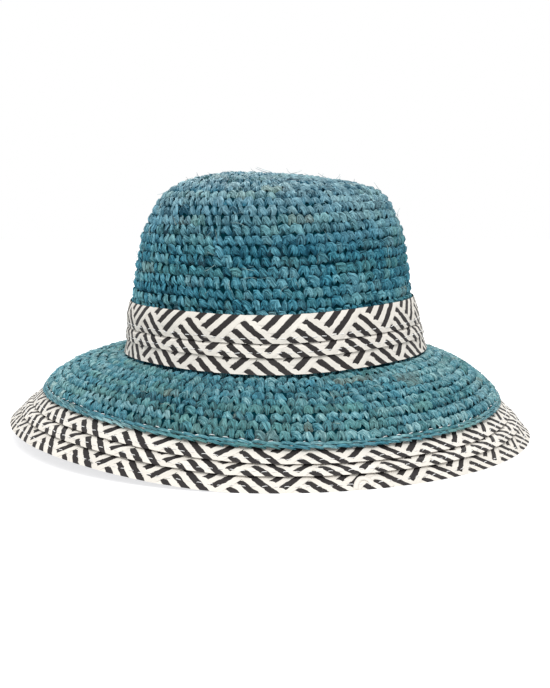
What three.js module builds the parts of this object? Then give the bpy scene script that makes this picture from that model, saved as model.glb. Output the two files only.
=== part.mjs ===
// A crochet raffia sun hat: a soft rounded crown, a bell-shaped brim, a band of three overlapping
// rows of flat plaited braid round the crown, and three more rows of the same braid as the brim's edge.
// Millimetres, +Z up, the front at -Y. The origin is on the surface that the rim rests on, in the middle.
import * as THREE from "three";
import { mergeVertices } from "three/addons/utils/BufferGeometryUtils.js";

// The head that the hat fits, measured inside the crown where it meets the brim.
const headWidth = 170;
const headLength = 199;

// The crochet body.
const crochetWall = 4;
const crownRise = 103.6;
const crochetReach = 46.5;
const crochetFall = 25.5;
const brimLengthening = 1.08;

// The flat braid of the band and of the brim's edge.
const braidWidth = 14.6;
const braidThickness = 1.1;
const clearance = 0.3;
const bandSecondShow = 7.7;
const bandThirdShow = 9;
const edgeFirstShow = 8.4;
const edgeSecondShow = 8.1;
const edgeThirdShow = 9.5;
const edgeSlope = 41;

// The crocheted chain that finishes the brim's last round.
const chainWidth = 3.4;
const chainThickness = 2.2;

// How the hat sits off centre: the crown on the brim, and the tip on the crown.
const crownOffset = 2.8;
const tipOffset = -2.1;
const tipLean = 6.3;
const tipLeanTurn = 0.68;

const segmentsAround = 60;
const crossSectionSides = 6;

// The crown from its tip down to the brim, on the outside: reach is a share of the half width there,
// rise a share of crownRise.
const crownSections = [
  { reach: 0.0, rise: 1.0 },
  { reach: 0.245, rise: 0.996 },
  { reach: 0.393, rise: 0.979 },
  { reach: 0.516, rise: 0.962 },
  { reach: 0.6, rise: 0.94 },
  { reach: 0.679, rise: 0.911 },
  { reach: 0.735, rise: 0.875 },
  { reach: 0.779, rise: 0.827 },
  { reach: 0.816, rise: 0.755 },
  { reach: 0.851, rise: 0.685 },
  { reach: 0.88, rise: 0.59 },
  { reach: 0.905, rise: 0.44 },
  { reach: 0.928, rise: 0.3 },
  { reach: 0.95, rise: 0.14 },
  { reach: 0.976, rise: 0.055 },
  { reach: 1.0, rise: 0.0 },
];

// The crocheted brim from the crown outwards: out is a share of crochetReach, fall of crochetFall.
const brimSections = [
  { out: 0.1, fall: 0.045 },
  { out: 0.3, fall: 0.15 },
  { out: 0.5, fall: 0.31 },
  { out: 0.7, fall: 0.525 },
  { out: 0.87, fall: 0.775 },
  { out: 1.0, fall: 1.0 },
];

// How the brim hangs, every eighth of the way round: heights at the crown, at the last crochet round
// and at the rim, above their mean heights and as shares of breakHeight. The rim lies on the surface
// wherever its share isn't above zero.
const brimSides = [
  { side: "right", atCrown: 0.035, atLastRound: 0.01, atRim: -0.01 },
  { side: "back right", atCrown: 0.01, atLastRound: -0.02, atRim: -0.02 },
  { side: "back", atCrown: 0.01, atLastRound: 0.04, atRim: -0.02 },
  { side: "back left", atCrown: 0.045, atLastRound: 0.22, atRim: 0.18 },
  { side: "left", atCrown: -0.005, atLastRound: 0.16, atRim: 0.2 },
  { side: "front left", atCrown: -0.015, atLastRound: 0.11, atRim: 0.14 },
  { side: "front", atCrown: -0.05, atLastRound: -0.055, atRim: -0.02 },
  { side: "front right", atCrown: 0.015, atLastRound: -0.06, atRim: -0.01 },
];

const outerHalfWidth = headWidth / 2 + crochetWall;
const outerHalfLength = headLength / 2 + crochetWall;
const outerMeanRadius = (outerHalfWidth + outerHalfLength) / 2;
const edgeShow = edgeFirstShow + edgeSecondShow + edgeThirdShow;
const lapRise = braidThickness + clearance;
const edgeSeat = -crochetWall - lapRise;
const edgeAngle = THREE.MathUtils.degToRad(edgeSlope);
const breakHeight =
  crochetFall + edgeShow * Math.sin(edgeAngle) - edgeSeat * Math.cos(edgeAngle);

// The mean meridian of the whole hat, as one smooth curve of reach and height from tip to rim.
const crownPoints = crownSections.map(
  ({ reach, rise }) => new THREE.Vector2(reach * outerMeanRadius, breakHeight + rise * crownRise),
);
const brimPoints = brimSections.map(
  ({ out, fall }) =>
    new THREE.Vector2(outerMeanRadius + out * crochetReach, breakHeight - fall * crochetFall),
);
const edgeDirection = new THREE.Vector2(Math.cos(edgeAngle), -Math.sin(edgeAngle));
const edgePoints = [1 / 3, 2 / 3, 1].map((share) =>
  brimPoints.at(-1).clone().addScaledVector(edgeDirection, share * edgeShow),
);
const meridian = new THREE.SplineCurve([...crownPoints, ...brimPoints, ...edgePoints]);
meridian.arcLengthDivisions = 2000;
const meridianLength = meridian.getLength();

// The distance from the tip, along the meridian, of the point that the spline passes at an index.
function distanceAtPoint(index) {
  const lengths = meridian.getLengths();
  const share = index / (meridian.points.length - 1);
  return lengths[Math.round(share * (lengths.length - 1))];
}

const breakIndex = crownPoints.length - 1;
const lastRoundIndex = breakIndex + brimPoints.length;
const breakAt = distanceAtPoint(breakIndex);
const lastRoundAt = distanceAtPoint(lastRoundIndex);
const rimAt = meridianLength;

// One column of the table of sides as a smooth curve that goes once round and meets itself.
function sideCurve(column) {
  const around = [brimSides.at(-1), ...brimSides, ...brimSides.slice(0, 2)];
  return new THREE.SplineCurve(around.map((row, i) => new THREE.Vector2(i - 1, row[column])));
}

const sideCurves = {
  atCrown: sideCurve("atCrown"),
  atLastRound: sideCurve("atLastRound"),
  atRim: sideCurve("atRim"),
};

// The height that a column gives at an angle. Angle 0 is the right side.
function sideHeight(column, angle) {
  const turns = THREE.MathUtils.euclideanModulo(angle / (2 * Math.PI), 1);
  const along = (turns * brimSides.length + 1) / (brimSides.length + 2);
  return sideCurves[column].getPoint(along).y * breakHeight;
}

const rimHeight = (angle) => Math.max(0, sideHeight("atRim", angle));

// How far a stretch of the meridian stands above the mean one at an angle.
function liftAt(distance, angle) {
  const crownLift = sideHeight("atCrown", angle);
  const roundLift = sideHeight("atLastRound", angle);
  if (distance <= breakAt) return crownLift * THREE.MathUtils.smoothstep(distance, 0, breakAt);
  if (distance <= lastRoundAt) {
    const share = THREE.MathUtils.smoothstep(distance, breakAt, lastRoundAt);
    return THREE.MathUtils.lerp(crownLift, roundLift, share);
  }
  const share = (distance - lastRoundAt) / (rimAt - lastRoundAt);
  return THREE.MathUtils.lerp(roundLift, rimHeight(angle), share);
}

// A point of the hat's outer face, at a distance from the tip along the meridian and an angle.
function outerPoint(distance, angle) {
  const { x: reach, y: height } = meridian.getPointAt(Math.min(distance / meridianLength, 1));
  const onCrown = distance <= breakAt;
  const beyondCrown = reach - outerMeanRadius;
  const halfWidth = onCrown
    ? (reach * outerHalfWidth) / outerMeanRadius
    : outerHalfWidth + beyondCrown;
  const halfLength = onCrown
    ? (reach * outerHalfLength) / outerMeanRadius
    : outerHalfLength + beyondCrown * brimLengthening;
  const rise = THREE.MathUtils.clamp((height - breakHeight) / crownRise, 0, 1);
  const shift = onCrown
    ? crownOffset + tipOffset * THREE.MathUtils.smoothstep(rise, 0, 0.3)
    : (crownOffset * (rimAt - distance)) / (rimAt - breakAt);
  const x = halfWidth * Math.cos(angle);
  const share = reach / outerMeanRadius;
  const leanHere = onCrown ? tipLean * rise ** 2 * (1 - (share / tipLeanTurn) ** 2) : 0;
  return new THREE.Vector3(
    x + shift,
    halfLength * Math.sin(angle),
    height - (leanHere * x) / outerHalfWidth + liftAt(distance, angle),
  );
}

// The outer face's direction, square to the hat at a place.
function outwards(distance, angle) {
  const small = 0.01;
  if (distance < small) return new THREE.Vector3(0, 0, 1);
  const before = Math.max(distance - small, small / 2);
  const after = Math.min(distance + small, rimAt);
  const down = outerPoint(after, angle).sub(outerPoint(before, angle));
  const round = outerPoint(distance, angle + small).sub(outerPoint(distance, angle - small));
  return down.cross(round).normalize();
}

// Turns a round lathed piece into its place on the hat. In the lathe's profile, x is the distance
// from the tip along the hat and y the height above the hat's outer face. The rim is cut level, so
// that it rests flat.
function drape(profile) {
  const lathe = new THREE.LatheGeometry(profile, segmentsAround).rotateX(Math.PI / 2);
  const positions = lathe.getAttribute("position");
  const flat = new THREE.Vector3();
  for (let i = 0; i < positions.count; i++) {
    flat.fromBufferAttribute(positions, i);
    const angle = Math.atan2(flat.y, flat.x);
    const distance = Math.min(Math.hypot(flat.x, flat.y), rimAt);
    const point = outerPoint(distance, angle);
    point.addScaledVector(outwards(distance, angle), flat.z);
    if (rimAt - distance < 0.01) point.z = rimHeight(angle);
    positions.setXYZ(i, point.x, point.y, point.z);
  }
  lathe.deleteAttribute("normal");
  lathe.deleteAttribute("uv");
  const merged = mergeVertices(lathe);
  merged.computeVertexNormals();
  return merged;
}

// The places along the hat where its pieces bend, which all pieces share so that their faces match.
const bandTopAt = breakAt - clearance - braidWidth - bandSecondShow - bandThirdShow;
const bandSecondAt = bandTopAt + bandSecondShow;
const bandThirdAt = bandSecondAt + bandThirdShow;
const edgeFirstAt = lastRoundAt + edgeFirstShow - braidWidth;
const edgeSecondAt = edgeFirstAt + edgeSecondShow;
const edgeThirdAt = rimAt - braidWidth;
const crochetEndAt = lastRoundAt - chainWidth - clearance;
const braidStarts = [
  bandTopAt,
  bandSecondAt,
  bandThirdAt,
  edgeFirstAt,
  edgeSecondAt,
  edgeThirdAt,
];
const braidEnds = braidStarts.map((start) => start + braidWidth);
const sectionPlaces = meridian.points.map((point, index) => distanceAtPoint(index));
const joinPlaces = [...braidStarts, ...braidEnds, crochetEndAt, lastRoundAt];

// The places that a piece bends at, from its start to its end: every start and end of a braid on
// it, and the meridian's own points where they stand clear of those.
function placesBetween(start, end, spacing) {
  const tight = clearance;
  const joins = joinPlaces.filter((place) => place > start + tight && place < end - tight);
  const fixed = [start, ...joins, end].sort((a, b) => a - b);
  const clearOf = (place) => fixed.every((other) => Math.abs(other - place) > spacing);
  const between = sectionPlaces.filter((place) => place > start && place < end && clearOf(place));
  return [...fixed, ...between].sort((a, b) => a - b);
}

// The profile of a strip between two faces, each given as a height above the hat's outer face.
function stripProfile(places, underFace, topFace) {
  const under = places.map((place) => new THREE.Vector2(place, underFace(place)));
  const top = places.map((place) => new THREE.Vector2(place, topFace(place)));
  return [...under, ...top.reverse()];
}

function closed(profile) {
  return [...profile, profile[0].clone()];
}

const crochetFaces = [() => -crochetWall, () => 0];

// The crochet body: the crown from its tip down, and the brim that carries on from it.
function crownShell() {
  const places = placesBetween(0, breakAt - clearance / 2, braidWidth / 4);
  return drape(stripProfile(places, ...crochetFaces));
}

function brimShell() {
  const places = placesBetween(breakAt + clearance / 2, crochetEndAt, braidWidth / 4);
  return drape(closed(stripProfile(places, ...crochetFaces)));
}

// One row of braid. It lies low under the row above, then steps up to ride over the row below, so
// the rows lap like shingles. The last row has none below and stays low.
function braidRow({ start, seat, stepStart, stepEnd }) {
  const places = placesBetween(start, start + braidWidth, braidWidth / 4);
  const underFace = (at) =>
    stepEnd === undefined
      ? seat
      : THREE.MathUtils.mapLinear(
          THREE.MathUtils.clamp(at, stepStart, stepEnd),
          stepStart,
          stepEnd,
          seat,
          seat + lapRise,
        );
  return drape(closed(stripProfile(places, underFace, (at) => underFace(at) + braidThickness)));
}

const bandRow = (row) => braidRow({ seat: clearance, ...row });
const edgeRow = (row) => braidRow({ seat: edgeSeat, ...row });

// The chain lies along the end of the crochet, on top of the first edge row.
function edgingChain() {
  const middle = new THREE.Vector2(
    lastRoundAt - chainWidth / 2,
    edgeSeat + lapRise + braidThickness + clearance + chainThickness / 2,
  );
  const section = Array.from({ length: crossSectionSides + 1 }, (_, i) => {
    const turn = (i / crossSectionSides) * 2 * Math.PI;
    return new THREE.Vector2(
      middle.x + (Math.cos(turn) * chainWidth) / 2,
      middle.y + (Math.sin(turn) * chainThickness) / 2,
    );
  });
  return drape(section);
}

const tealRaffia = new THREE.MeshStandardMaterial({ color: 0x4f8d9b, roughness: 0.75 });
const brimRaffia = new THREE.MeshStandardMaterial({ color: 0x5c97a0, roughness: 0.75 });
const plaitedStraw = new THREE.MeshStandardMaterial({ color: 0xa8a49d, roughness: 0.6 });

function piece(name, geometry, material) {
  const mesh = new THREE.Mesh(geometry, material);
  mesh.name = name;
  return mesh;
}

const hat = new THREE.Group();
hat.add(
  piece("crown", crownShell(), tealRaffia),
  piece("brim", brimShell(), brimRaffia),
  piece("edging_chain", edgingChain(), brimRaffia),
  piece(
    "band_row_upper",
    bandRow({ start: bandTopAt, stepStart: bandTopAt, stepEnd: bandSecondAt }),
    plaitedStraw,
  ),
  piece(
    "band_row_middle",
    bandRow({ start: bandSecondAt, stepStart: bandTopAt + braidWidth, stepEnd: bandThirdAt }),
    plaitedStraw,
  ),
  piece("band_row_lower", bandRow({ start: bandThirdAt }), plaitedStraw),
  piece(
    "edge_row_inner",
    edgeRow({ start: edgeFirstAt, stepStart: crochetEndAt, stepEnd: edgeSecondAt }),
    plaitedStraw,
  ),
  piece(
    "edge_row_middle",
    edgeRow({ start: edgeSecondAt, stepStart: edgeFirstAt + braidWidth, stepEnd: edgeThirdAt }),
    plaitedStraw,
  ),
  piece("edge_row_outer", edgeRow({ start: edgeThirdAt }), plaitedStraw),
);

export default hat;
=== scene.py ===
import math

import bmesh
import bpy
import numpy as np
from mathutils import Matrix, Vector


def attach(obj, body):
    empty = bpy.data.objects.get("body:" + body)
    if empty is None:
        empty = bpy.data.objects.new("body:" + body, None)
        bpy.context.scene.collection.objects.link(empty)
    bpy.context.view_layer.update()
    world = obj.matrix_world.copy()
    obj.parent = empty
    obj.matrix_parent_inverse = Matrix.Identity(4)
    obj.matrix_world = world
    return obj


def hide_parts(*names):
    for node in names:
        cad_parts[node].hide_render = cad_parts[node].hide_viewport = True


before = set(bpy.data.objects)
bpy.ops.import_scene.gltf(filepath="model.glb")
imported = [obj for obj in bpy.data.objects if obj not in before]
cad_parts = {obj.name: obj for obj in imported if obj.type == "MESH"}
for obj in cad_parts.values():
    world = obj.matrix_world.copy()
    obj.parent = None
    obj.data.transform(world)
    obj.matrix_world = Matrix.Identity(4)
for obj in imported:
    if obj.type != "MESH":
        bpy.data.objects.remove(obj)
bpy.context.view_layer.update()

MILLIMETRE = 0.001
TURN = 2 * math.pi
chance = np.random.default_rng(58)

# The sizes of the solids
HEAD_WIDTH = 170
HEAD_LENGTH = 199
CROCHET_WALL = 4
CROWN_RISE = 103.6
CROCHET_REACH = 46.5
CROCHET_FALL = 25.5
BRIM_LENGTHENING = 1.08
BRAID_WIDTH = 14.6
BRAID_THICKNESS = 1.1
CLEARANCE = 0.3
BAND_SECOND_SHOW = 7.7
BAND_THIRD_SHOW = 9
EDGE_FIRST_SHOW = 8.4
EDGE_SECOND_SHOW = 8.1
EDGE_THIRD_SHOW = 9.5
EDGE_SLOPE = math.radians(41)
CHAIN_WIDTH = 3.4
CROWN_OFFSET = 2.8
TIP_OFFSET = -2.1
TIP_LEAN = 6.3
TIP_LEAN_TURN = 0.68

# The crown from its tip down: shares of the half width and of the crown's rise
CROWN_SECTIONS = [
    (0.0, 1.0),
    (0.245, 0.996),
    (0.393, 0.979),
    (0.516, 0.962),
    (0.6, 0.94),
    (0.679, 0.911),
    (0.735, 0.875),
    (0.779, 0.827),
    (0.816, 0.755),
    (0.851, 0.685),
    (0.88, 0.59),
    (0.905, 0.44),
    (0.928, 0.3),
    (0.95, 0.14),
    (0.976, 0.055),
    (1.0, 0.0),
]

# The brim from the crown outwards: shares of its reach and of its fall
BRIM_SECTIONS = [(0.1, 0.045), (0.3, 0.15), (0.5, 0.31), (0.7, 0.525), (0.87, 0.775), (1.0, 1.0)]

# How the brim hangs every eighth of the way round, from the right side over the back:
# heights at the crown, at the last round and at the rim, as shares of the height of the crown's foot
BRIM_SIDES = [
    (0.035, 0.01, -0.01),
    (0.01, -0.02, -0.02),
    (0.01, 0.04, -0.02),
    (0.045, 0.22, 0.18),
    (-0.005, 0.16, 0.2),
    (-0.015, 0.11, 0.14),
    (-0.05, -0.055, -0.02),
    (0.015, -0.06, -0.01),
]

HALF_WIDTH = HEAD_WIDTH / 2 + CROCHET_WALL
HALF_LENGTH = HEAD_LENGTH / 2 + CROCHET_WALL
MEAN_RADIUS = (HALF_WIDTH + HALF_LENGTH) / 2
EDGE_SHOW = EDGE_FIRST_SHOW + EDGE_SECOND_SHOW + EDGE_THIRD_SHOW
LAP_RISE = BRAID_THICKNESS + CLEARANCE
EDGE_SEAT = -CROCHET_WALL - LAP_RISE
FOOT_HEIGHT = CROCHET_FALL + EDGE_SHOW * math.sin(EDGE_SLOPE) - EDGE_SEAT * math.cos(EDGE_SLOPE)

# Steps of a smooth line from each of its points to the next
LINE_STEPS = 80


def smooth_line(points, steps=LINE_STEPS):
    """A smooth line through every point, with as many steps from each to the next."""
    points = np.asarray(points, float)
    padded = np.vstack([points[:1], points, points[-1:]])
    before, here, there, after = padded[:-3], padded[1:-2], padded[2:-1], padded[3:]
    t = (np.arange(steps) / steps)[None, :, None]
    leaving = ((there - before) / 2)[:, None]
    arriving = ((after - here) / 2)[:, None]
    line = (2 * t**3 - 3 * t**2 + 1) * here[:, None] + (t**3 - 2 * t**2 + t) * leaving
    line = line + (3 * t**2 - 2 * t**3) * there[:, None] + (t**3 - t**2) * arriving
    return np.vstack([line.reshape(-1, points.shape[1]), points[-1:]])


# The hat's mean outline from tip to rim, as reach and height
outline_points = [(reach * MEAN_RADIUS, FOOT_HEIGHT + rise * CROWN_RISE) for reach, rise in CROWN_SECTIONS]
outline_points += [
    (MEAN_RADIUS + out * CROCHET_REACH, FOOT_HEIGHT - fall * CROCHET_FALL) for out, fall in BRIM_SECTIONS
]
last_round = outline_points[-1]
outline_points += [
    (
        last_round[0] + math.cos(EDGE_SLOPE) * EDGE_SHOW * share / 3,
        last_round[1] - math.sin(EDGE_SLOPE) * EDGE_SHOW * share / 3,
    )
    for share in (1, 2, 3)
]
outline = smooth_line(outline_points)
outline_along = np.concatenate([[0], np.cumsum(np.linalg.norm(np.diff(outline, axis=0), axis=1))])
FOOT_AT = outline_along[LINE_STEPS * (len(CROWN_SECTIONS) - 1)]
LAST_ROUND_AT = outline_along[LINE_STEPS * (len(CROWN_SECTIONS) + len(BRIM_SECTIONS) - 1)]
RIM_AT = outline_along[-1]
BAND_TOP_AT = FOOT_AT - CLEARANCE - BRAID_WIDTH - BAND_SECOND_SHOW - BAND_THIRD_SHOW
BAND_SECOND_AT = BAND_TOP_AT + BAND_SECOND_SHOW
BAND_THIRD_AT = BAND_SECOND_AT + BAND_THIRD_SHOW
EDGE_FIRST_AT = LAST_ROUND_AT + EDGE_FIRST_SHOW - BRAID_WIDTH
EDGE_SECOND_AT = EDGE_FIRST_AT + EDGE_SECOND_SHOW
EDGE_THIRD_AT = RIM_AT - BRAID_WIDTH
CROCHET_END_AT = LAST_ROUND_AT - CHAIN_WIDTH - CLEARANCE

SIDES = len(BRIM_SIDES)
side_lines = [
    smooth_line([(i - 1, BRIM_SIDES[(i - 1) % SIDES][column]) for i in range(SIDES + 3)])
    for column in range(3)
]


def side_height(column, angle):
    """How far one column of BRIM_SIDES lifts the hat at an angle."""
    line = side_lines[column]
    return np.interp(np.mod(angle / TURN, 1) * SIDES, line[:, 0], line[:, 1]) * FOOT_HEIGHT


def smoothstep(value, low, high):
    share = np.clip((value - low) / (high - low), 0, 1)
    return share * share * (3 - 2 * share)


def outer_point(distance, angle):
    """A point of the hat's outer face, at a distance from the tip along the hat and an angle."""
    reach = np.interp(distance, outline_along, outline[:, 0])
    height = np.interp(distance, outline_along, outline[:, 1])
    on_crown = distance <= FOOT_AT
    beyond = reach - MEAN_RADIUS
    half_width = np.where(on_crown, reach * HALF_WIDTH / MEAN_RADIUS, HALF_WIDTH + beyond)
    half_length = np.where(
        on_crown, reach * HALF_LENGTH / MEAN_RADIUS, HALF_LENGTH + beyond * BRIM_LENGTHENING
    )
    rise = np.clip((height - FOOT_HEIGHT) / CROWN_RISE, 0, 1)
    brim_shift = CROWN_OFFSET * (RIM_AT - distance) / (RIM_AT - FOOT_AT)
    shift = np.where(on_crown, CROWN_OFFSET + TIP_OFFSET * smoothstep(rise, 0, 0.3), brim_shift)
    lean = np.where(on_crown, TIP_LEAN * rise**2 * (1 - (reach / MEAN_RADIUS / TIP_LEAN_TURN) ** 2), 0)
    crown_lift, round_lift = side_height(0, angle), side_height(1, angle)
    rim_lift = np.maximum(0, side_height(2, angle))
    on_brim = smoothstep(distance, FOOT_AT, LAST_ROUND_AT)
    on_edge = np.clip((distance - LAST_ROUND_AT) / (RIM_AT - LAST_ROUND_AT), 0, 1)
    lift = crown_lift * smoothstep(distance, 0, FOOT_AT) * (1 - on_brim)
    lift = lift + round_lift * on_brim * (1 - on_edge)
    lift = lift + rim_lift * on_edge
    x = half_width * np.cos(angle)
    z = height - lean * x / HALF_WIDTH + lift
    return np.stack([x + shift, half_length * np.sin(angle), z], axis=-1)


# The nearest that a point comes to the tip and to the floor, and the steps that find which way is out
NEAREST = 0.05
STEP_DOWN = 0.02
STEP_AROUND = 0.002


def hat_point(distance, angle, above):
    """Points at a height above the outer face, square to it."""
    distance = np.clip(distance, NEAREST, RIM_AT)
    below = outer_point(np.minimum(distance + STEP_DOWN, RIM_AT), angle)
    down = below - outer_point(distance - STEP_DOWN, angle)
    around = outer_point(distance, angle + STEP_AROUND) - outer_point(distance, angle - STEP_AROUND)
    outwards = np.cross(down, around)
    outwards = outwards / np.linalg.norm(outwards, axis=-1, keepdims=True)
    points = outer_point(distance, angle) + outwards * np.asarray(above)[..., None]
    points[..., 2] = np.maximum(points[..., 2], NEAREST)
    return points


angle_steps = np.linspace(0, TURN, 721)


def around_the_hat(distance):
    """The way round the hat at a distance: its length up to each angle step."""
    ring = outer_point(np.full(angle_steps.shape, distance), angle_steps)
    return np.concatenate([[0], np.cumsum(np.linalg.norm(np.diff(ring, axis=0), axis=1))])


def angle_at(way, places):
    """The angles at some places along the way round."""
    return np.interp(np.mod(places, way[-1]), way, angle_steps)


def radian_length(distance, angles):
    """The length of the way round for one radian, at a distance and some angles."""
    return np.interp(angles, angle_steps, np.gradient(around_the_hat(distance), angle_steps))


# Strands, from which everything on the hat is made
def new_shape():
    """An empty mesh whose points know how far along and across their strand they lie."""
    shape = bmesh.new()
    shape.verts.layers.float_vector.new("strand")
    return shape


def station(middle, across, thickness):
    """Where one ring of a strand lies: its middle, its half width and its half thickness."""
    across, thickness = Vector(across), Vector(thickness)
    along = across.cross(thickness).normalized()
    turned = Matrix((across, thickness, along)).transposed().to_4x4()
    return Matrix.Translation(Vector(middle)) @ turned


# Sections of a strand, as shares of its half width and half thickness: flat, creased and thin
FLAT_SECTION = [(-1, 0), (-0.9, 0.85), (0, 1), (0.9, 0.85), (1, 0), (0, -0.8)]
CREASED_SECTION = [(-1, -0.1), (-0.6, 0.85), (-0.08, 0.3), (0.44, 1), (1, -0.1), (0, -0.9)]
THIN_SECTION = [(-1, 0), (0, 1), (1, 0), (0, -1)]


def add_strand(shape, stations, section, number=0.0, width=None):
    """A closed strand: its section at the first station, drawn out to each of the next."""
    layer = shape.verts.layers.float_vector["strand"]
    ring = [shape.verts.new(stations[0] @ Vector((x, y, 0))) for x, y in section]
    end = shape.faces.new(ring)
    along = 0.0
    for before, here in zip([stations[0]] + stations[:-1], stations):
        if here is not stations[0]:
            drawn = bmesh.ops.extrude_face_region(shape, geom=[end, *end.edges])["geom"]
            ring = [part for part in drawn if isinstance(part, bmesh.types.BMVert)]
            end = next(part for part in drawn if isinstance(part, bmesh.types.BMFace))
            bmesh.ops.transform(shape, matrix=here @ before.inverted(), verts=ring)
            along += (here.translation - before.translation).length
        half = here.col[0].length if width is None else width
        for point in ring:
            point[layer] = (along, (here.inverted() @ point.co).x * half, number)


def shape_arrays(shape, open_ends=False):
    """The points, strand places, faces and face sizes of a shape, which is then freed."""
    if open_ends:
        ends = [face for face in shape.faces if len(face.verts) > 4]
        bmesh.ops.delete(shape, geom=ends, context="FACES_ONLY")
    else:
        bmesh.ops.recalc_face_normals(shape, faces=shape.faces)
    shape.verts.index_update()
    layer = shape.verts.layers.float_vector["strand"]
    points = np.array([point.co for point in shape.verts])
    strands = np.array([point[layer] for point in shape.verts])
    corners = np.array([point.index for face in shape.faces for point in face.verts])
    sizes = np.array([len(face.verts) for face in shape.faces])
    shape.free()
    return points, strands, corners, sizes


def new_batch(points, strands, dyes, corners, sizes):
    """Placed copies of one shape: points, strand places and dyes, each as (copy, point, 3), and the
    corners and sizes of one copy's faces."""
    return {"points": points, "strands": strands, "dyes": dyes, "corners": corners, "sizes": sizes}


def own_numbers(count):
    """A number of its own for each copy, so that no two have the same fibres."""
    numbers = np.zeros((count, 1, 3))
    numbers[:, :, 2] = chance.uniform(0, 400, (count, 1))
    return numbers


def turned_flat(u, v, turn):
    return u * np.cos(turn) - v * np.sin(turn), u * np.sin(turn) + v * np.cos(turn)


# Points nearer than this, in millimetres, are welded
WELD = 0.002


def joined_mesh(name, batches, weld=False, crease=None):
    """One mesh of all the copies in some batches. Folds past crease, in degrees, stay sharp."""
    points, strands, dyes, corners, sizes = [], [], [], [], []
    count = 0
    for batch in batches:
        copies, length = batch["points"].shape[:2]
        starts = count + np.arange(copies) * length
        points.append(batch["points"].reshape(-1, 3) * MILLIMETRE)
        strands.append(batch["strands"].reshape(-1, 3))
        dyes.append(batch["dyes"].reshape(-1, 3))
        corners.append((starts[:, None] + batch["corners"][None]).ravel())
        sizes.append(np.tile(batch["sizes"], copies))
        count += copies * length
    corners, sizes = np.concatenate(corners), np.concatenate(sizes)
    mesh = bpy.data.meshes.new(name)
    mesh.vertices.add(count)
    mesh.vertices.foreach_set("co", np.concatenate(points).astype(np.float32).ravel())
    mesh.loops.add(len(corners))
    mesh.loops.foreach_set("vertex_index", corners.astype(np.int32))
    mesh.polygons.add(len(sizes))
    face_starts = np.concatenate([[0], np.cumsum(sizes)[:-1]])
    mesh.polygons.foreach_set("loop_start", face_starts.astype(np.int32))
    for layer_name, values in (("strand", strands), ("dye", dyes)):
        layer = mesh.attributes.new(layer_name, "FLOAT_VECTOR", "POINT")
        layer.data.foreach_set("vector", np.concatenate(values).astype(np.float32).ravel())
    mesh.update(calc_edges=True)
    if weld:
        welded = bmesh.new()
        welded.from_mesh(mesh)
        bmesh.ops.remove_doubles(welded, verts=welded.verts, dist=WELD * MILLIMETRE)
        welded.to_mesh(mesh)
        welded.free()
    mesh.polygons.foreach_set("use_smooth", np.ones(len(mesh.polygons), bool))
    if crease is not None:
        mesh.set_sharp_from_angle(angle=math.radians(crease))
    mesh.update()
    return mesh


def add_piece(name, mesh, material, slot, *nodes):
    """A piece of the hat that rides with it and stands for the named nodes."""
    piece = bpy.data.objects.new(name, mesh)
    bpy.context.scene.collection.objects.link(piece)
    mesh.materials.append(material)
    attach(piece, "root")
    if nodes:
        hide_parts(*nodes)


# Materials
def add_node(tree, kind, inputs=(), **settings):
    """A node with its settings and inputs. An input is a value or another node's output."""
    node = tree.nodes.new(kind)
    for key, value in settings.items():
        setattr(node, key, value)
    for key, value in dict(inputs).items():
        if isinstance(value, bpy.types.NodeSocket):
            tree.links.new(value, node.inputs[key])
        else:
            node.inputs[key].default_value = value
    return node


def mix_colours(tree, share, first, second, blend="MIX"):
    return add_node(
        tree, "ShaderNodeMix", {0: share, 6: first, 7: second}, data_type="RGBA", blend_type=blend
    ).outputs[2]


def calculate(tree, operation, first, second=0.0, third=0.0, limit=False):
    node = add_node(
        tree, "ShaderNodeMath", {0: first, 1: second, 2: third}, operation=operation, use_clamp=limit
    )
    return node.outputs[0]


def srgb(red, green, blue):
    """A colour as seen, given in 0 to 255, as the light values that a shader takes."""
    values = np.array([red, green, blue]) / 255
    linear = np.where(values <= 0.04045, values / 12.92, ((values + 0.055) / 1.055) ** 2.4)
    return (*[float(value) for value in linear], 1.0)


def new_group(name, inputs, outputs):
    group = bpy.data.node_groups.new(name, "ShaderNodeTree")
    for socket_name, kind, value in inputs:
        socket = group.interface.new_socket(name=socket_name, in_out="INPUT", socket_type=kind)
        socket.default_value = value
    for socket_name, kind in outputs:
        group.interface.new_socket(name=socket_name, in_out="OUTPUT", socket_type=kind)
    return group, group.nodes.new("NodeGroupInput"), group.nodes.new("NodeGroupOutput")


NUMBER = "NodeSocketFloat"


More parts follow.
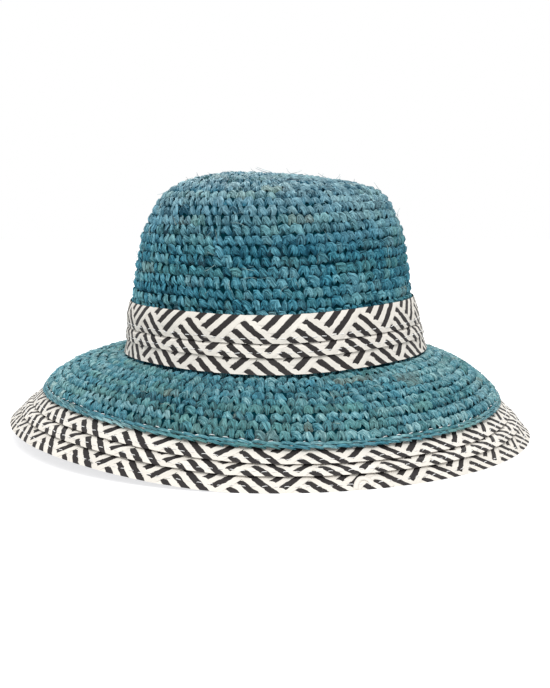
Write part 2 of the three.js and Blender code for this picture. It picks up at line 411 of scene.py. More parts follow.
def build_fibre_group():
    """Long fibres that run with a strand: a mask of streaks, a height for the bump, a roughness and
    a shade of each strand's own."""
    group, given, result = new_group(
        "strand fibres",
        [("Fineness", NUMBER, 3.0), ("Length", NUMBER, 0.25)],
        [("Streaks", NUMBER), ("Height", NUMBER), ("Roughness", NUMBER), ("Own shade", NUMBER)],
    )
    place = add_node(group, "ShaderNodeAttribute", attribute_name="strand")
    parts = add_node(group, "ShaderNodeSeparateXYZ", {0: place.outputs["Vector"]})
    along = calculate(group, "MULTIPLY", parts.outputs[0], given.outputs["Length"])
    across = calculate(group, "MULTIPLY", parts.outputs[1], given.outputs["Fineness"])
    number = calculate(group, "MULTIPLY", parts.outputs[2], 7.31)
    stretched = add_node(group, "ShaderNodeCombineXYZ", {0: along, 1: across, 2: number})
    broad = add_node(
        group, "ShaderNodeTexNoise", {"Vector": stretched.outputs[0], "Scale": 1.0, "Detail": 2.0}
    )
    fine = add_node(
        group, "ShaderNodeTexNoise", {"Vector": stretched.outputs[0], "Scale": 3.1, "Detail": 2.0}
    )
    streaks = calculate(group, "MULTIPLY", broad.outputs[0], 0.5)
    streaks = calculate(group, "MULTIPLY_ADD", fine.outputs[0], 0.5, streaks)
    contrast = calculate(group, "MULTIPLY_ADD", streaks, 4.6, -1.8, limit=True)
    group.links.new(contrast, result.inputs["Streaks"])
    group.links.new(streaks, result.inputs["Height"])
    rough = calculate(group, "MULTIPLY_ADD", contrast, -0.14, 0.66)
    group.links.new(rough, result.inputs["Roughness"])
    own = add_node(group, "ShaderNodeTexWhiteNoise", {"W": parts.outputs[2]}, noise_dimensions="1D")
    group.links.new(own.outputs["Value"], result.inputs["Own shade"])
    return group


fibre_group = build_fibre_group()


def new_material(name):
    material = bpy.data.materials.new(name)
    material.use_nodes = True
    tree = material.node_tree
    return material, tree, tree.nodes["Principled BSDF"]


def add_fibres(tree, fineness, length):
    fibres = tree.nodes.new("ShaderNodeGroup")
    fibres.node_tree = fibre_group
    fibres.inputs["Fineness"].default_value = fineness
    fibres.inputs["Length"].default_value = length
    return fibres


def add_bump(tree, shader, height, strength, depth):
    bump = add_node(
        tree, "ShaderNodeBump", {"Height": height, "Strength": strength, "Distance": depth * MILLIMETRE}
    )
    tree.links.new(bump.outputs[0], shader.inputs["Normal"])


def read_dye(tree):
    """The three numbers of the dye attribute."""
    dye = add_node(tree, "ShaderNodeAttribute", attribute_name="dye")
    return add_node(tree, "ShaderNodeSeparateXYZ", {0: dye.outputs["Vector"]}).outputs


def shaded(tree, colour, shade):
    """A colour, darker where its shade is below one."""
    grey = add_node(tree, "ShaderNodeCombineColor", {0: shade, 1: shade, 2: shade})
    return mix_colours(tree, 1.0, colour, grey.outputs[0], "MULTIPLY")


def finish_shader(tree, shader, fibres, colour, shine):
    tree.links.new(colour, shader.inputs["Base Color"])
    tree.links.new(fibres.outputs["Roughness"], shader.inputs["Roughness"])
    shader.inputs["Specular IOR Level"].default_value = shine


# The top of the crown is painted lighter, a painted sheen, more and more between these heights, in metres
PAINTED_SHEEN_STARTS = 0.106
PAINTED_SHEEN_FULL = 0.15
PAINTED_SHEEN_COLOUR = (200, 210, 210)


def raffia_material(name, deep, middle, bright, blue, green, straw, shine=0.2, painted_top_sheen=0.0, sheen=0.0):
    """Dyed raffia. The dye attribute holds how faded a strand is, with painted shade and painted sheen
    added in, its hue and its undyed share.
    The top of the crown is painted lighter by the share given, a painted sheen."""
    material, tree, shader = new_material(name)
    fibres = add_fibres(tree, 1.35, 0.13)
    # The first dye number holds fading, with painted shade and painted sheen added in
    fading_and_painted_light, hue, undyed = read_dye(tree)
    lightness = calculate(tree, "MULTIPLY_ADD", fibres.outputs["Streaks"], 0.5, -0.25)
    lightness = calculate(tree, "ADD", fading_and_painted_light, lightness)
    low = calculate(tree, "MULTIPLY", lightness, 2.0, limit=True)
    high = calculate(tree, "MULTIPLY_ADD", lightness, 2.0, -1.0, limit=True)
    colour = mix_colours(tree, low, srgb(*deep), srgb(*middle))
    colour = mix_colours(tree, high, colour, srgb(*bright))
    to_blue = calculate(tree, "MULTIPLY_ADD", hue, 1.6, -0.8, limit=True)
    to_green = calculate(tree, "MULTIPLY_ADD", hue, -1.6, 0.8, limit=True)
    colour = mix_colours(tree, to_blue, colour, srgb(*blue))
    colour = mix_colours(tree, to_green, colour, srgb(*green))
    colour = mix_colours(tree, undyed, colour, srgb(*straw))
    place = add_node(tree, "ShaderNodeTexCoord")
    height = add_node(tree, "ShaderNodeSeparateXYZ", {0: place.outputs["Object"]}).outputs[2]
    # Painted sheen: the crown's top is mixed towards a pale grey, except in its deepest parts
    heights = {0: height, 1: PAINTED_SHEEN_STARTS, 2: PAINTED_SHEEN_FULL, 3: 0.0, 4: painted_top_sheen}
    painted_sheen_share = add_node(tree, "ShaderNodeMapRange", heights)
    painted_sheen_share = calculate(tree, "MULTIPLY", painted_sheen_share.outputs[0], low)
    colour = mix_colours(tree, painted_sheen_share, colour, srgb(*PAINTED_SHEEN_COLOUR))
    own = calculate(tree, "MULTIPLY_ADD", fibres.outputs["Own shade"], 0.3, 0.55)
    shade = calculate(tree, "MULTIPLY_ADD", fibres.outputs["Streaks"], 0.7, own)
    finish_shader(tree, shader, fibres, shaded(tree, colour, shade), shine)
    shader.inputs["Sheen Weight"].default_value = sheen
    shader.inputs["Sheen Roughness"].default_value = 0.25
    add_bump(tree, shader, fibres.outputs["Height"], 1.0, 1.1)
    return material


def straw_material(name, cream, black):
    """Plaited straw. The dye attribute holds how black a strand is and its own small shade."""
    material, tree, shader = new_material(name)
    fibres = add_fibres(tree, 2.2, 0.16)
    blackness, own, _ = read_dye(tree)
    colour = mix_colours(tree, blackness, srgb(*cream), srgb(*black))
    streaks = calculate(tree, "MULTIPLY_ADD", fibres.outputs["Streaks"], 0.1, 0.93)
    shade = calculate(tree, "MULTIPLY", streaks, own)
    finish_shader(tree, shader, fibres, shaded(tree, colour, shade), 0.3)
    add_bump(tree, shader, fibres.outputs["Height"], 0.4, 0.25)
    return material


crown_raffia = raffia_material(
    "crown_raffia",
    deep=(0, 60, 80),
    middle=(58, 129, 148),
    bright=(116, 170, 182),
    blue=(56, 130, 154),
    green=(94, 150, 148),
    straw=(172, 174, 154),
    # The share of painted sheen on the top of the crown
    painted_top_sheen=0.34,
)
brim_raffia = raffia_material(
    "brim_raffia",
    deep=(0, 56, 70),
    middle=(72, 136, 149),
    bright=(142, 180, 184),
    blue=(70, 136, 156),
    green=(98, 150, 148),
    straw=(178, 182, 158),
    sheen=0.12,
)
# The same raffia painted dark, as painted shade, for the sheets inside the crochet
painted_shade_raffia = raffia_material(
    "painted_shade_raffia",
    deep=(1, 36, 50),
    middle=(2, 42, 56),
    bright=(3, 48, 60),
    blue=(2, 42, 58),
    green=(3, 46, 54),
    straw=(6, 48, 56),
    shine=0.0,
)
plaited_straw = straw_material("plaited_straw", cream=(233, 228, 219), black=(42, 38, 38))
sewing_thread = straw_material("sewing_thread", cream=(250, 250, 250), black=(240, 240, 240))


# The crochet: closed rounds of stitches, each with two leafy legs that meet in a rounded head
STITCH_WIDTH = 5.3
ROUND_HEIGHT = 5.45
FIRST_ROUND_AT = 3.2
BRIM_ROUNDS = 9
FEWEST_STITCHES = 6
ROUND_WAVER = 0.3
STITCH_KINDS = 14
CROWN_FULLNESS = 1.03
BRIM_FULLNESS = 0.96
BAND_PRESS = 0.7
# The share by which the brim's two sides are painted lighter, a painted sheen
SIDE_PAINTED_SHEEN = 0.3
STITCH_CREASE = 0

# Dye lots: the share of lots left undyed, and the mean and spread of a lot's fading and hue
UNDYED_LOTS = 0.1
FADING = (0.5, 0.13)
HUE = (0.52, 0.13)

# How far single stitches stray in dye, width, turn, size, height and place
DYE_SPREAD = (0.11, 0.1, 0.04)
WIDTH_SPREAD = 0.16
TURN_SPREAD = 0.17
SIZE_SPREAD = 0.05
HEIGHT_SPREAD = 0.16
PLACE_SPREAD = 0.24

# Between the first two heights a stitch lies deep in the crochet, and painted shade darkens its colour
# there, by the last share, reached over the depth before it
PAINTED_SHADE_TOP = -0.75
PAINTED_SHADE_BOTTOM = -3.3
PAINTED_SHADE_RAMP = 1.3
PAINTED_SHADE_STRENGTH = 0.85

# Routes of a stitch's strands, each point as (u, v, w, half width): across, up and out of the hat
RIGHT_LEG = [
    (-2.1, 0.5, -2.2, 0.9),
    (-1.3, 1.75, -1.3, 1.35),
    (-0.1, 1.5, -0.8, 1.65),
    (0.95, 0.0, -0.85, 1.8),
    (1.6, -1.6, -1.4, 1.5),
    (2.1, -2.9, -2.4, 0.9),
]
LEFT_LEG = [
    (-0.2, 2.3, -2.1, 0.9),
    (-1.1, 1.1, -1.4, 1.5),
    (-1.75, -0.6, -1.45, 1.45),
    (-2.05, -2.6, -2.3, 0.85),
]
BACK_BAR = [(-2.8, 0.5, -2.8, 1.3), (0.0, -0.3, -3.2, 2.0), (2.8, 0.5, -2.8, 1.3)]


def leg_stations(route, jitter, thickness=0.55):
    """Stations of a leafy strand along a route of (u, v, w, half width)."""
    places = np.array(route, float)
    places[:, :3] += chance.normal(0, 1, (len(places), 3)) * (jitter, jitter, jitter / 2)
    places[:, 3] *= chance.uniform(0.86, 1.12) if jitter else 1
    tangents = np.gradient(places[:, :3], axis=0)
    stations = []
    for (u, v, w, half), tangent in zip(places, tangents):
        tangent = Vector(tangent).normalized()
        across = Vector((0, 0, 1)).cross(tangent).normalized()
        normal = tangent.cross(across).normalized()
        roll = Matrix.Rotation(chance.normal(0, 0.8 * jitter), 3, tangent)
        stations.append(station((u, v, w), roll @ across * half, roll @ normal * half * thickness))
    return stations


def creased():
    """A creased section, as often with its crease on the other side, and never twice the same."""
    side = chance.choice((-1, 1))
    points = [
        (side * x + chance.normal(0, 0.05), y + chance.normal(0, 0.08)) for x, y in CREASED_SECTION
    ]
    return points[:: int(side)]


def stitch_arrays(number):
    shape = new_shape()
    add_strand(shape, leg_stations(LEFT_LEG, 0.28), creased(), number=number)
    add_strand(shape, leg_stations(RIGHT_LEG, 0.28), creased(), number=number + 0.37)
    add_strand(shape, leg_stations(BACK_BAR, 0.15, 0.35), THIN_SECTION, number=number + 0.71)
    return shape_arrays(shape)


stitch_kinds = [stitch_arrays(kind) for kind in range(STITCH_KINDS)]


def waver(angle, reach, turns):
    """A soft waver round the hat, in millimetres."""
    total = np.zeros(np.shape(angle))
    for count in turns:
        total = total + chance.normal(0, 1) * np.sin(count * angle + chance.uniform(0, TURN))
    return total * reach / math.sqrt(len(turns))


def crochet_rounds(first_at, last_at, count):
    """Every stitch of some rounds: distance, angle, length of the way round for one radian, and its
    width as a share of the usual one. The widths fill each round without gaps."""
    stitches = []
    for distance in np.linspace(first_at, last_at, count):
        way = around_the_hat(distance)
        number = max(FEWEST_STITCHES, round(way[-1] / STITCH_WIDTH))
        widths = np.exp(chance.normal(0, WIDTH_SPREAD, number))
        widths = widths / widths.sum() * way[-1]
        places = np.cumsum(widths) - widths / 2 + chance.uniform(0, way[-1])
        angles = angle_at(way, places)
        slope = radian_length(distance, angles)
        shifts = waver(angles, min(ROUND_WAVER, distance / 60), (3, 5, 8, 13, 21))
        stitches.append(np.stack([distance + shifts, angles, slope, widths / STITCH_WIDTH], axis=1))
    return np.concatenate(stitches)


def dye_lots(count):
    """The dye of each stitch in turn: stretches of one strand, with small changes within them."""
    dyes = np.zeros((count, 3))
    start = 0
    while start < count:
        length = int(chance.integers(2, 16))
        undyed = 0.0
        if chance.uniform() < UNDYED_LOTS:
            length, undyed = int(chance.integers(1, 4)), chance.uniform(0.08, 0.3)
        lightness = np.clip(chance.normal(*FADING), 0, 1)
        hue = np.clip(chance.normal(*HUE), 0, 1)
        dyes[start : start + length] = (lightness, hue, undyed)
        start += length
    dyes += chance.normal(0, 1, (count, 3)) * DYE_SPREAD
    return np.clip(dyes, 0, 1)


def place_stitches(stitches, dyes, fullness):
    """The placed copies of every stitch, as one batch for each kind. Fuller stitches hide more of the
    dark between the rounds."""
    kinds = chance.integers(0, len(stitch_kinds), len(stitches))
    batches = []
    for kind, (points, strands, corners, sizes) in enumerate(stitch_kinds):
        mine = kinds == kind
        count = int(mine.sum())
        if not count:
            continue
        distance, angle, slope, width = stitches[mine].T[:, :, None]
        turn = chance.normal(0, TURN_SPREAD, (count, 1))
        size = chance.normal(fullness, SIZE_SPREAD, (count, 1))
        u, v = points[None, :, 0] * width * (fullness - 0.02), points[None, :, 1] * size
        u, v = turned_flat(u, v, turn)
        above = points[None, :, 2] + chance.normal(0, HEIGHT_SPREAD, (count, 1))
        reached = distance - v + chance.normal(0, PLACE_SPREAD, (count, 1))
        under_band = smoothstep(reached, BAND_TOP_AT - 0.5, BAND_TOP_AT + 1.5)
        under_band = under_band * (1 - smoothstep(reached, FOOT_AT - 1.5, FOOT_AT + 0.5))
        placed = hat_point(reached, angle + u / slope, above - BAND_PRESS * under_band)
        dye = np.broadcast_to(dyes[mine][:, None], placed.shape).copy()
        # Painted shade: the parts of each stitch that lie deep in the crochet are darkened in colour
        painted_shade_depth = np.minimum(PAINTED_SHADE_TOP - points[:, 2], points[:, 2] - PAINTED_SHADE_BOTTOM)
        dye[:, :, 0] -= PAINTED_SHADE_STRENGTH * np.clip(painted_shade_depth / PAINTED_SHADE_RAMP, 0, 1)
        batches.append(new_batch(placed, strands[None] + own_numbers(count), dye, corners, sizes))
    return batches


def add_rounds(names, stitches, dyes, fullness, material, slot, node):
    """The stitches of a node as pieces of about the same size, from the tip outwards."""
    cuts = [len(stitches) * share // len(names) for share in range(len(names) + 1)]
    for name, start, end in zip(names, cuts[:-1], cuts[1:]):
        batches = place_stitches(stitches[start:end], dyes[start:end], fullness)
        add_piece(name, joined_mesh(name, batches, crease=STITCH_CREASE), material, slot, node)


crown_round_count = round((FOOT_AT - FIRST_ROUND_AT) / ROUND_HEIGHT)
crown_stitches = crochet_rounds(FIRST_ROUND_AT, FOOT_AT - ROUND_HEIGHT / 2, crown_round_count)
half_round = (CROCHET_END_AT - FOOT_AT) / BRIM_ROUNDS / 2
brim_stitches = crochet_rounds(FOOT_AT + half_round, CROCHET_END_AT - half_round, BRIM_ROUNDS)
all_dyes = dye_lots(len(crown_stitches) + len(brim_stitches))
crown_dyes, brim_dyes = all_dyes[: len(crown_stitches)], all_dyes[len(crown_stitches) :]
# The brim is painted lighter at its two sides, a painted sheen
brim_dyes[:, 0] += SIDE_PAINTED_SHEEN * np.cos(brim_stitches[:, 1]) ** 2

crown_names = ("crown_top_rounds", "crown_side_rounds", "crown_foot_rounds")
add_rounds(crown_names, crown_stitches, crown_dyes, CROWN_FULLNESS, crown_raffia, "teal_raffia", "crown")
brim_names = ("brim_upper_rounds", "brim_lower_rounds")
add_rounds(brim_names, brim_stitches, brim_dyes, BRIM_FULLNESS, brim_raffia, "brim_raffia", "brim")


# The strands inside the crochet's thickness, seen only as the dark between its stitches, and painted dark
# with painted shade
INNER_TOP = -2.0
INNER_BOTTOM = -2.6
INNER_STEP = 3
INNER_SIDES = 120


def inner_layer(name, start, end):
    """A thin closed sheet, spun from its section and laid into the crochet's thickness."""
    places = np.linspace(start, end, max(3, round((end - start) / INNER_STEP)))
    shape = bmesh.new()
    section = [shape.verts.new((place, 0, INNER_TOP)) for place in places]
    section += [shape.verts.new((place, 0, INNER_BOTTOM)) for place in places[::-1]]
    loop = [shape.edges.new(pair) for pair in zip(section, section[1:])]
    if start > 1:
        loop.append(shape.edges.new((section[-1], section[0])))
    bmesh.ops.spin(
        shape,
        geom=section + loop,
        cent=(0, 0, 0),
        axis=(0, 0, 1),
        angle=TURN,
        steps=INNER_SIDES,
        use_merge=True,
    )
    bmesh.ops.remove_doubles(shape, verts=shape.verts, dist=0.001)
    bmesh.ops.recalc_face_normals(shape, faces=shape.faces)
    flat = np.array([point.co for point in shape.verts])
    laid = hat_point(np.hypot(flat[:, 0], flat[:, 1]), np.arctan2(flat[:, 1], flat[:, 0]), flat[:, 2])
    for point, place in zip(shape.verts, laid * MILLIMETRE):
        point.co = place
    for face in shape.faces:
        face.smooth = True
    mesh = bpy.data.meshes.new(name)
    shape.to_mesh(mesh)
    shape.free()
    return mesh


crown_inner = inner_layer("crown_inner_strands", 0, FOOT_AT - CLEARANCE / 2)
add_piece("crown_inner_strands", crown_inner, painted_shade_raffia, "teal_raffia")
brim_inner = inner_layer("brim_inner_strands", FOOT_AT + CLEARANCE / 2, CROCHET_END_AT - 0.5)
add_piece("brim_inner_strands", brim_inner, painted_shade_raffia, "brim_raffia")


# The plaited braid: seven strands, three black and four cream, that cross in a repeat of seven
STRANDS = 7
DEPTH = STRANDS / 2
BLACK_STRANDS = (0, 2, 4)
UNIT_DEPTH = BRAID_WIDTH / DEPTH
PLAIT_KINDS = 4
BRAID_CREASE = 15

# How far a strand rises and sinks and its half thickness, in millimetres
RISE = 0.13
STRAND_THICKNESS = 0.1

# In spacings between strands: the flat stretch to each side of a crossing, and half a strand's width
FLAT_STRETCH = 0.16
BLACK_HALF = 0.52
CREAM_HALF = 0.53

# Half the width of a strand for its fibres, in millimetres
FIBRE_HALF = 2.0

# How many spacings along its repeat the foot of a long black bar lies
BAR_AT = 1.25

# How far the braid's edges and faces waver, in millimetres
WAVER = 0.06


def side_of(strand):
    return (strand + 1) // STRANDS


def plait_strand(strand):
    """One repeat of a strand: down to the lower edge, folded under, and up to the upper edge."""
    rings = [(strand, 0.0, 0.0, 90)]
    for crossing in range(1, STRANDS):
        over = side_of(strand + crossing) != side_of(strand)
        for step in (-FLAT_STRETCH, FLAT_STRETCH):
            depth = crossing / 2 + step
            rings.append((strand + depth, depth, RISE if over else -RISE, 180))
    rings.append((strand + DEPTH, DEPTH, 0.0, 90))
    rising = strand + STRANDS
    for crossing in range(STRANDS - 1, 0, -1):
        over = side_of(rising) == side_of(rising - crossing)
        for step in (FLAT_STRETCH, -FLAT_STRETCH):
            depth = crossing / 2 + step
            rings.append((rising - depth, depth, RISE if over else -RISE, 0))
    rings.append((rising, 0.0, 0.0, 90))
    stations = []
    for place, (along, depth, height, turned) in enumerate(rings):
        half = BLACK_HALF if strand in BLACK_STRANDS else CREAM_HALF
        if 0 < place < len(rings) - 1:
            along += chance.normal(0, 0.04)
            height += chance.normal(0, 0.02)
            half *= chance.uniform(0.88, 1.1)
        turned = math.radians(turned)
        edge = -math.sin(turned) * STRAND_THICKNESS / UNIT_DEPTH
        thickness = (0, edge, math.cos(turned) * STRAND_THICKNESS)
        stations.append(station((along, depth, height), (half, 0, 0), thickness))
    shape = new_shape()
    add_strand(shape, stations, FLAT_SECTION, number=strand, width=FIBRE_HALF)
    return shape_arrays(shape, open_ends=True)


plait_kinds = [[plait_strand(strand) for kind in range(PLAIT_KINDS)] for strand in range(STRANDS)]


def plait_row(name, node, start, under_face, repeats, bar_at, stretch):
    """One row of braid round the hat. bar_at is the angle of the foot of a long black bar, and stretch
    how much longer a repeat is at the front than on average."""
    way = around_the_hat(start + BRAID_WIDTH / 2)
    foot = np.interp(math.radians(bar_at) % TURN, angle_steps, way)
    batches = []
    for strand, kinds in enumerate(plait_kinds):
        chosen = chance.integers(0, len(kinds), repeats)
        shades = chance.uniform(0.95, 1.03, repeats)
        for kind, (points, strands, corners, sizes) in enumerate(kinds):
            mine = np.flatnonzero(chosen == kind)
            if not len(mine):
                continue
            along = (points[None, :, 0] + STRANDS * mine[:, None] - BAR_AT) / (STRANDS * repeats)
            angle = angle_at(way, along * way[-1] + foot)
            angle = angle + stretch * np.cos(angle)
            depth = np.broadcast_to(points[None, :, 1], angle.shape)
            sway = WAVER * np.sin(angle * 61) + WAVER * np.sin(angle * 97 + depth * 3)
            distance = start + depth * UNIT_DEPTH + sway
            lift = WAVER * np.sin(angle * 43 + depth * 2)
            above = under_face(distance) + 0.6 * BRAID_THICKNESS + points[None, :, 2] + lift
            placed = hat_point(distance, angle, above)
            numbers = np.zeros((len(mine), 1, 3))
            numbers[:, 0, 0] = mine * STRANDS * UNIT_DEPTH
            dye = np.zeros((len(mine), 1, 3))
            dye[:, 0, 0] = strand in BLACK_STRANDS
            dye[:, 0, 1] = shades[mine]
            dyes = np.broadcast_to(dye, placed.shape)
            batches.append(new_batch(placed, strands[None] + numbers, dyes, corners, sizes))
    mesh = joined_mesh(name, batches, weld=True, crease=BRAID_CREASE)
    add_piece(name, mesh, plaited_straw, "plaited_straw", node)


def stepped(seat, start, end):
    """The underface of a row that steps up over the row below it."""
    return lambda distance: seat + LAP_RISE * np.clip((distance - start) / (end - start), 0, 1)


def flat(seat):
    return lambda distance: np.full(np.shape(distance), float(seat))


BAND_UPPER_FACE = stepped(CLEARANCE, BAND_TOP_AT, BAND_SECOND_AT)
BAND_MIDDLE_FACE = stepped(CLEARANCE, BAND_TOP_AT + BRAID_WIDTH, BAND_THIRD_AT)
EDGE_INNER_FACE = stepped(EDGE_SEAT, CROCHET_END_AT, EDGE_SECOND_AT)
EDGE_MIDDLE_FACE = stepped(EDGE_SEAT, EDGE_FIRST_AT + BRAID_WIDTH, EDGE_THIRD_AT)

# Each row's node, start, underface, repeats, angle of a long black bar in degrees, and stretch
plait_rows = [
    ("band_row_upper", BAND_TOP_AT, BAND_UPPER_FACE, 18, 270.5, 0.009),
    ("band_row_middle", BAND_SECOND_AT, BAND_MIDDLE_FACE, 19, 267.7, 0.021),
    ("band_row_lower", BAND_THIRD_AT, flat(CLEARANCE), 18, 277.1, -0.012),
    ("edge_row_inner", EDGE_FIRST_AT, EDGE_INNER_FACE, 29, 272.5, 0.018),
    ("edge_row_middle", EDGE_SECOND_AT, EDGE_MIDDLE_FACE, 30, 274.9, -0.005),
    ("edge_row_outer", EDGE_THIRD_AT, flat(EDGE_SEAT), 31, 272.3, -0.01),
]
for node, start, under_face, repeats, bar_at, stretch in plait_rows:
    plait_row(node + "_plait", node, start, under_face, repeats, bar_at, stretch)


# Small strands laid along the hat, each on a route of (u, v, w, half width)
def laid_strand(route, section=THIN_SECTION, number=0.0, thickness=0.8):
    shape = new_shape()
    add_strand(shape, leg_stations(route, 0.0, thickness), section, number=number)
    return shape_arrays(shape)


def laid_row(distance, pitch, above, arrays, spread, offset=0.5):
    """Copies of a small strand at even steps round the hat. spread is their turn and their shift."""
    points, strands, corners, sizes = arrays
    way = around_the_hat(distance)
    count = round(way[-1] / pitch)
    places = (np.arange(count) + offset + chance.normal(0, 0.06, count)) / count * way[-1]
    angles = angle_at(way, places)[:, None]
    slope = radian_length(distance, angles)
    turn = chance.normal(0, spread[0], (count, 1))
    u, v = turned_flat(points[None, :, 0], points[None, :, 1], turn)
    shift = chance.normal(0, spread[1], (count, 1))
    placed = hat_point(distance - v + shift, angles + u / slope, points[None, :, 2] + above)
    dyes = np.zeros(placed.shape)
    dyes[:, :, 1] = 1.0
    return new_batch(placed, strands[None] + own_numbers(count), dyes, corners, sizes)


# The sewing that holds each row of braid: short thin stitches along its lower edge
SEWING_PITCH = 5.2
SEWING_INSET = 2.6
RIM_SEWING_INSET = 4.0
THREAD_LIFT = 0.02
thread_stitch = laid_strand(
    [
        (-1.4, -0.1, -0.4, 0.16),
        (-0.8, -0.05, 0.02, 0.2),
        (0.8, 0.05, 0.02, 0.2),
        (1.4, 0.1, -0.4, 0.16),
    ]
)
for node, start, under_face, *rest in plait_rows:
    if node == "band_row_lower":
        continue
    inset = RIM_SEWING_INSET if node == "edge_row_outer" else SEWING_INSET
    at = start + BRAID_WIDTH - inset
    top = float(under_face(at)) + BRAID_THICKNESS + THREAD_LIFT
    batch = laid_row(at, SEWING_PITCH, top, thread_stitch, (0.12, 0.15))
    add_piece(node + "_thread", joined_mesh(node + "_thread", [batch]), sewing_thread, "plaited_straw")

# Where the outer row of braid ends: two cream strands fold over and two black ones tuck under them.
# Each is a route of distances from the row's upper edge and angles in degrees, with its half width,
# its height as a share of the braid's thickness, and its share of black
TUCKED_STRANDS = [
    ([(10.6, 287.1), (12.4, 287.7), (14.4, 287.9)], 1.3, 0.62, 1.0),
    ([(10.2, 290.2), (12.2, 290.6), (14.4, 291.0)], 1.5, 0.62, 1.0),
    ([(13.9, 285.3), (10.4, 285.7), (7.3, 286.8), (8.6, 288.2), (12.6, 288.8)], 1.35, 0.95, 0.0),
    ([(9.3, 288.4), (7.4, 289.3), (8.6, 290.7), (11.6, 291.8), (14.4, 292.4)], 1.3, 0.8, 0.0),
]
tucked_batches = []
for route, half, height, black in TUCKED_STRANDS:
    line = smooth_line(route, 4)
    turned = np.radians(line[:, 1])
    slope = float(radian_length(RIM_AT, turned[0]))
    lift = EDGE_SEAT + BRAID_THICKNESS * height
    u, v = (turned - turned[0]) * slope, line[0, 0] - line[:, 0]
    w = lift - 0.5 * np.abs(np.linspace(-1, 1, len(line))) ** 3
    route_3d = list(zip(u, v, w, np.full(len(line), half)))
    points, strands, corners, sizes = laid_strand(route_3d, section=FLAT_SECTION, thickness=0.3)
    start = EDGE_THIRD_AT + line[0, 0]
    placed = hat_point(start - points[:, 1], turned[0] + points[:, 0] / slope, points[:, 2])
    dyes = np.zeros((1, len(points), 3))
    dyes[:] = (black, 1.0, 0.0)
    tucked_batches.append(new_batch(placed[None], strands[None], dyes, corners, sizes))
tucked_mesh = joined_mesh("tucked_braid_end", tucked_batches)
add_piece("tucked_braid_end", tucked_mesh, plaited_straw, "plaited_straw")

# The chain that finishes the last round: two lines of long links, with a thin thread above them
LINK_PITCH = 7.0
CHAIN_THREAD_PITCH = 7.3
LINK_SPREAD = (0.03, 0.08)
chain_link = laid_strand(
    [
        (-5.0, 0.3, -1.2, 0.5),
        (-2.8, 0.3, 0.0, 0.85),
        (0.0, 0.05, 0.25, 0.95),
        (2.8, -0.25, 0.0, 0.85),
        (5.0, -0.25, -1.2, 0.5),
    ],
    section=CREASED_SECTION,
    thickness=0.75,
)
chain_batches = [
    laid_row(LAST_ROUND_AT - 2.6, LINK_PITCH, -1.3, chain_link, LINK_SPREAD, 0.2),
    laid_row(LAST_ROUND_AT - 1.0, LINK_PITCH, -1.8, chain_link, LINK_SPREAD, 0.7),
]
for batch in chain_batches:
    batch["dyes"][:] = dye_lots(len(batch["points"]))[:, None]
chain_mesh = joined_mesh("edging_chain_links", chain_batches)
add_piece("edging_chain_links", chain_mesh, brim_raffia, "brim_raffia", "edging_chain")
thread_at = LAST_ROUND_AT - CHAIN_WIDTH - 0.1
chain_thread = laid_row(thread_at, CHAIN_THREAD_PITCH, -1.0, thread_stitch, (0.2, 0.35))
chain_thread_mesh = joined_mesh("edging_chain_thread", [chain_thread])
add_piece("edging_chain_thread", chain_thread_mesh, sewing_thread, "brim_raffia")


# Loose ends of raffia that stand out from the crochet
CROWN_LOOSE_ENDS = 150
BRIM_LOOSE_ENDS = 70


def loose_ends(count, first_at, last_at):
    """Thin curved fibres that start in the crochet and stray from it."""
    batches = []
    for end in range(count):
        distance = math.sqrt(chance.uniform(first_at**2, last_at**2))
        angle = chance.uniform(0, TURN)
        reach, lift = chance.uniform(3, 9), chance.uniform(-0.2, 3.2)
        heading = chance.uniform(0, TURN)
        bend = chance.normal(0, 0.5)
        steps = np.linspace(0, 1, 5)
        u = np.cos(heading + bend * steps) * steps * reach
        v = np.sin(heading + bend * steps) * steps * reach
        w = -0.6 + 1.1 * np.minimum(1, steps * 4) + lift * steps**2
        half = 0.2 * (1 - 0.6 * steps)
        points, strands, corners, sizes = laid_strand(list(zip(u, v, w, half)), number=end)
        angles = angle + points[:, 0] / radian_length(distance, angle)
        placed = hat_point(distance - points[:, 1], angles, points[:, 2])[None]
        dyes = np.zeros(placed.shape)
        dyes[:] = (chance.uniform(0.4, 1), chance.uniform(0.3, 0.7), chance.uniform(0, 0.5))
        batches.append(new_batch(placed, strands[None], dyes, corners, sizes))
    return batches


loose_mesh = joined_mesh("crown_loose_ends", loose_ends(CROWN_LOOSE_ENDS, 8, BAND_TOP_AT - 3))
add_piece("crown_loose_ends", loose_mesh, crown_raffia, "teal_raffia")
brim_ends = loose_ends(BRIM_LOOSE_ENDS, FOOT_AT + 4, CROCHET_END_AT - 6)
loose_mesh = joined_mesh("brim_loose_ends", brim_ends)
add_piece("brim_loose_ends", loose_mesh, brim_raffia, "brim_raffia")

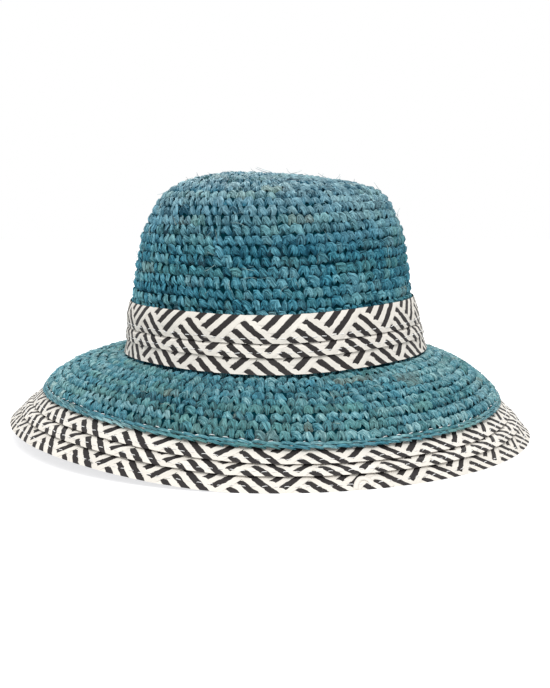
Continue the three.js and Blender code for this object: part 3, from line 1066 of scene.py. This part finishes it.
# The floor, the light and the camera
floor_shape = bmesh.new()
bmesh.ops.create_grid(floor_shape, x_segments=1, y_segments=1, size=4)
floor_mesh = bpy.data.meshes.new("floor")
floor_shape.to_mesh(floor_mesh)
floor_shape.free()
floor = bpy.data.objects.new("floor", floor_mesh)
bpy.context.scene.collection.objects.link(floor)
floor_material, floor_tree, floor_shader = new_material("white_floor")
seen = add_node(floor_tree, "ShaderNodeLightPath").outputs["Is Camera Ray"]
floor_colour = mix_colours(floor_tree, seen, (0.6, 0.6, 0.6, 1), (0.5, 0.5, 0.5, 1))
floor_tree.links.new(floor_colour, floor_shader.inputs["Base Color"])
floor_glow = mix_colours(floor_tree, seen, (0, 0, 0, 1), (0.74, 0.74, 0.75, 1))
floor_tree.links.new(floor_glow, floor_shader.inputs["Emission Color"])
floor_shader.inputs["Emission Strength"].default_value = 1.0
floor_shader.inputs["Roughness"].default_value = 0.9
floor_shader.inputs["Specular IOR Level"].default_value = 0.1
floor_mesh.materials.append(floor_material)

world = bpy.data.worlds.new("white_room")
bpy.context.scene.world = world
world.use_nodes = True
room_tree = world.node_tree
seen = add_node(room_tree, "ShaderNodeLightPath").outputs["Is Camera Ray"]
room_colour = mix_colours(room_tree, seen, (0.85, 0.85, 0.85, 1), (1, 1, 1, 1))
room_tree.links.new(room_colour, room_tree.nodes["Background"].inputs["Color"])


def add_light(name, place, aim, size, power):
    light = bpy.data.lights.new(name, "AREA")
    light.shape = "DISK"
    light.size = size
    light.energy = power
    holder = bpy.data.objects.new(name, light)
    holder.location = place
    holder.rotation_euler = (Vector(aim) - Vector(place)).to_track_quat("-Z", "Y").to_euler()
    bpy.context.scene.collection.objects.link(holder)


add_light("key_light", (0.0, -1.05, 1.45), (0, 0, 0.08), 0.9, 15)
add_light("back_light", (0.15, 1.0, 0.9), (0, 0, 0.12), 1.0, 8)

camera_data = bpy.data.cameras.new("camera")
camera_data.lens = 61.6
camera_data.sensor_width = 36
camera = bpy.data.objects.new("camera", camera_data)
camera.location = (0.0025, -0.7, 0.1305)
camera.rotation_euler = (math.radians(83.37), 0, 0)
bpy.context.scene.collection.objects.link(camera)
bpy.context.scene.camera = camera
bpy.context.scene.view_settings.view_transform = "Standard"
